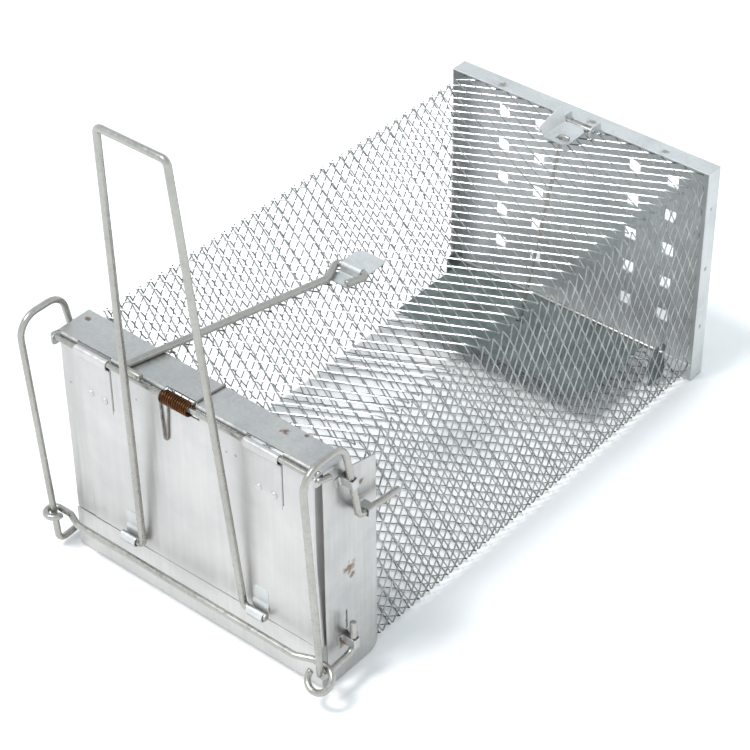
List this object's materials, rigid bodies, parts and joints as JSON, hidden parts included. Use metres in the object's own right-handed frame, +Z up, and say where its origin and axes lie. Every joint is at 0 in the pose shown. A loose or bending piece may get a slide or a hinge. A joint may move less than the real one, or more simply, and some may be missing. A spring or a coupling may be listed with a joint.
{
  "type": "live catch trap",
  "caption": "Wire-mesh live catch trap with a sprung drop door, a tall setting bail, a holding rod, a treadle trip and a sliding lock bar.",
  "frame": {"origin": "centre of the base, on the underside of the floor mesh", "axes": "+Y from the door to the rear pan, +Z up, +X to the right of someone facing the rear"},
  "size_m": [0.1632, 0.2896, 0.2436],
  "materials": {
    "collar_sheet": "galvanised, satin",
    "door_sheet": "galvanised, satin, fine vertical streaks",
    "mesh_steel": "galvanised, bright",
    "pan_sheet": "galvanised, satin",
    "wire_zinc": "zinc plated, warm grey",
    "spring_steel": "copper brown, satin",
    "trip_sheet": "galvanised, dull"
  },
  "bodies": {
    "root": {"frame_top_plate": "collar_sheet", "frame_side_left": "collar_sheet", "frame_side_right": "collar_sheet", "frame_sill_plate": "collar_sheet", "frame_sill_face": "door_sheet", "mesh_top": "mesh_steel", "mesh_left": "mesh_steel", "mesh_right": "mesh_steel", "mesh_floor": "mesh_steel", "pan_back": "pan_sheet", "pan_flange_top": "pan_sheet", "pan_flange_bottom": "pan_sheet", "pan_flange_left": "pan_sheet", "pan_flange_right": "pan_sheet", "hinge_pin": "wire_zinc", "torsion_spring": "spring_steel", "saddle_clip": "collar_sheet", "guide_wire_left": "wire_zinc", "guide_wire_right": "wire_zinc", "guide_clips_left": "collar_sheet", "guide_clips_right": "collar_sheet", "treadle_bracket_left": "pan_sheet", "treadle_bracket_right": "pan_sheet", "catch_pin": "wire_zinc", "catch_ear_left": "pan_sheet", "catch_ear_right": "pan_sheet"},
    "door": {"door_panel": "door_sheet", "hinge_strap_left": "door_sheet", "hinge_strap_right": "door_sheet", "strap_rivets": "door_sheet", "spring_door_leg": "spring_steel", "bail_tab_left": "door_sheet", "bail_tab_right": "door_sheet"},
    "bail": {"bail_wire": "wire_zinc"},
    "holding_rod": {"holding_rod": "wire_zinc"},
    "lock_bar": {"lock_bar": "wire_zinc"},
    "treadle": {"treadle_plate": "trip_sheet", "treadle_axle": "wire_zinc"},
    "link": {"catch_link": "wire_zinc"},
    "catch": {"catch_lever": "trip_sheet"}
  },
  "joints": [
    {"name": "door_hinge", "type": "hinge", "parent": "root", "child": "door", "pos_m": [0, -0.138, 0.1132], "axis": [-1, 0, 0], "range_deg": [0, 90], "stiffness_Nm_per_rad": 0.03, "springref_deg": -68.75},
    {"name": "bail_hinge", "type": "hinge", "parent": "door", "child": "bail", "pos_m": [0, -0.1402, 0.0255], "axis": [1, 0, 0], "range_deg": [0, 85]},
    {"name": "rod_pivot", "type": "hinge", "parent": "root", "child": "holding_rod", "pos_m": [0, -0.0298, 0.1171], "axis": [-1, 0, 0], "range_deg": [0, 170]},
    {"name": "bar_slide", "type": "slide", "parent": "root", "child": "lock_bar", "axis": [0, -0.0649, 0.9979], "range_m": [0, 0.084]},
    {"name": "treadle_hinge", "type": "hinge", "parent": "root", "child": "treadle", "pos_m": [0, 0.1145, 0.018], "axis": [1, 0, 0], "range_deg": [0, 5], "stiffness_Nm_per_rad": 0.4, "springref_deg": -5.73},
    {"name": "link_slide", "type": "slide", "parent": "root", "child": "link", "axis": [0, 0, -1], "range_m": [0, 0.003]},
    {"name": "catch_hinge", "type": "hinge", "parent": "root", "child": "catch", "pos_m": [0, 0.119, 0.118], "axis": [1, 0, 0], "range_deg": [0, 8]}
  ],
  "couplings": [
    {"joint": "link_slide", "follows": "treadle_hinge", "m_per_rad": 0.0215},
    {"joint": "catch_hinge", "follows": "treadle_hinge", "ratio": 1.5357}
  ]
}
